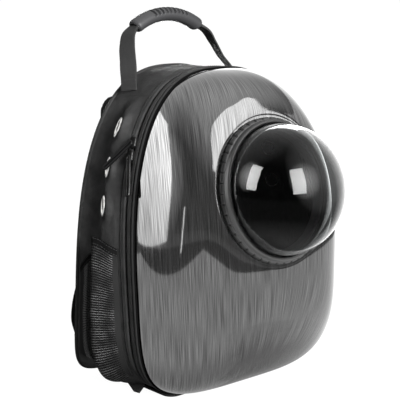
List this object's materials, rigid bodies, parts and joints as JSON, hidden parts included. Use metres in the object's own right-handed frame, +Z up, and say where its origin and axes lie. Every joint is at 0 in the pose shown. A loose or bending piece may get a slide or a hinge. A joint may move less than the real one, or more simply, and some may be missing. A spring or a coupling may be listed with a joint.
{
  "type": "pet carrier backpack",
  "caption": "Capsule backpack for carrying a small pet: hard domed front shell with a round bubble window, zipped to a soft vented bag with mesh pockets, handle and shoulder straps.",
  "frame": {"origin": "centre of the base board's underside, on the floor that the bag stands on", "axes": "+Z up, the bubble window faces -Y, +X to the right seen from the front"},
  "size_m": [0.337, 0.352, 0.4802],
  "materials": {
    "shell": "glossy dark grey with fine brushed streaks",
    "ring": "satin dark grey moulding",
    "clear": "clear polished bubble",
    "fabric": "matte black woven polyester",
    "trim": "black ribbed webbing and binding tape",
    "mesh": "dark grey knitted mesh",
    "rubber": "dark grey moulded grip with ribs",
    "nickel": "polished nickel eyelet",
    "plastic": "black moulded buckle and zip"
  },
  "bodies": {
    "bag": {"shell": "shell", "front_binding": "trim", "zip_tape_front": "fabric", "zip_coil": "plastic", "zip_tape_rear": "fabric", "panel_bottom": "fabric", "panel_top": "fabric", "vent_eyelet_left_1": "nickel", "vent_eyelet_left_2": "nickel", "vent_eyelet_left_3": "nickel", "panel_left": "fabric", "vent_eyelet_right_1": "nickel", "vent_eyelet_right_2": "nickel", "vent_eyelet_right_3": "nickel", "panel_right": "fabric", "pocket_mesh_left": "mesh", "pocket_hem_left": "trim", "pocket_mesh_right": "mesh", "pocket_hem_right": "trim", "base_board": "trim", "back_panel": "fabric", "rear_piping": "trim", "handle_webbing": "trim", "handle_grip": "rubber", "shoulder_strap_left": "fabric", "strap_webbing_left": "trim", "strap_anchor_left": "trim", "strap_adjuster_left": "plastic", "shoulder_strap_right": "fabric", "strap_webbing_right": "trim", "strap_anchor_right": "trim", "strap_adjuster_right": "plastic", "zip_slider_upper": "plastic", "zip_pull_upper": "plastic", "zip_slider_lower": "plastic", "zip_pull_lower": "plastic", "zip_end_tab_left": "trim", "zip_end_tab_right": "trim"},
    "window": {"window_ring": "ring", "window_dome": "clear"}
  },
  "joints": [
    {"name": "window_twist", "type": "hinge", "parent": "bag", "child": "window", "pos_m": [0, -0.14619, 0.26424], "axis": [0, -0.9744, 0.225], "range_deg": [0, 45]}
  ]
}
